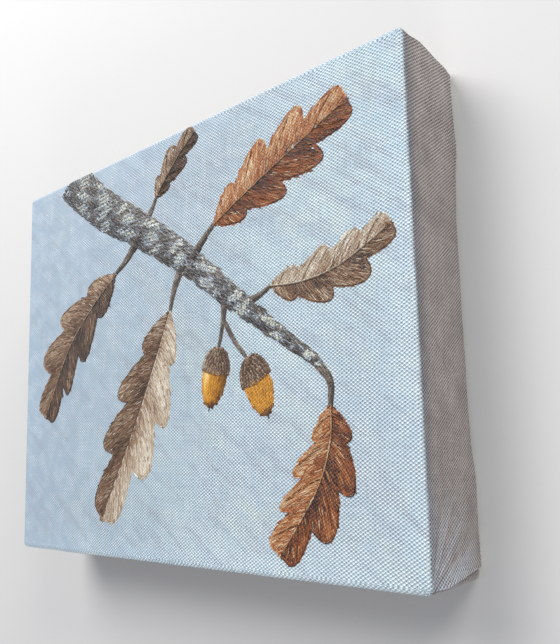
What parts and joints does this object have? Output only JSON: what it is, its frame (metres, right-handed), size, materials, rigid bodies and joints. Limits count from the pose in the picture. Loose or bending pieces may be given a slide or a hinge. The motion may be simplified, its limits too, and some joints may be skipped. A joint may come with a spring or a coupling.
{
  "type": "stretched canvas painting",
  "caption": "Deep-edge stretched canvas with an oil-painted face, keyed softwood stretcher bars and stapled, folded back",
  "frame": {"origin": "centre of the folded corners' plane at the back, which the canvas lies on", "axes": "+Z out of the painted face, +X along the face's width to its right, +Y to the top of the picture"},
  "size_m": [0.2524, 0.204, 0.0416],
  "materials": {
    "primed_canvas": "primed cotton duck, weave showing, painted thinly; bare on the inside",
    "oil_paint": "oil paint in short brush strokes, satin",
    "pine": "planed pine, unvarnished",
    "key_wood": "sawn beech, unvarnished",
    "staple_wire": "galvanised staple wire"
  },
  "bodies": {
    "root": {"canvas": "primed_canvas", "bar_bottom": "pine", "bar_right": "pine", "bar_top": "pine", "bar_left": "pine", "key_bottom_1": "key_wood", "key_bottom_2": "key_wood", "key_right_1": "key_wood", "key_right_2": "key_wood", "key_top_1": "key_wood", "key_top_2": "key_wood", "key_left_1": "key_wood", "key_left_2": "key_wood", "staple_bottom_1": "staple_wire", "staple_bottom_2": "staple_wire", "staple_bottom_3": "staple_wire", "staple_bottom_4": "staple_wire", "staple_bottom_5": "staple_wire", "staple_top_1": "staple_wire", "staple_top_2": "staple_wire", "staple_top_3": "staple_wire", "staple_top_4": "staple_wire", "staple_top_5": "staple_wire", "staple_left_1": "staple_wire", "staple_left_2": "staple_wire", "staple_left_3": "staple_wire", "staple_right_1": "staple_wire", "staple_right_2": "staple_wire", "staple_right_3": "staple_wire", "staple_corner_left_bottom": "staple_wire", "staple_corner_left_top": "staple_wire", "staple_corner_right_bottom": "staple_wire", "staple_corner_right_top": "staple_wire"}
  },
  "joints": []
}
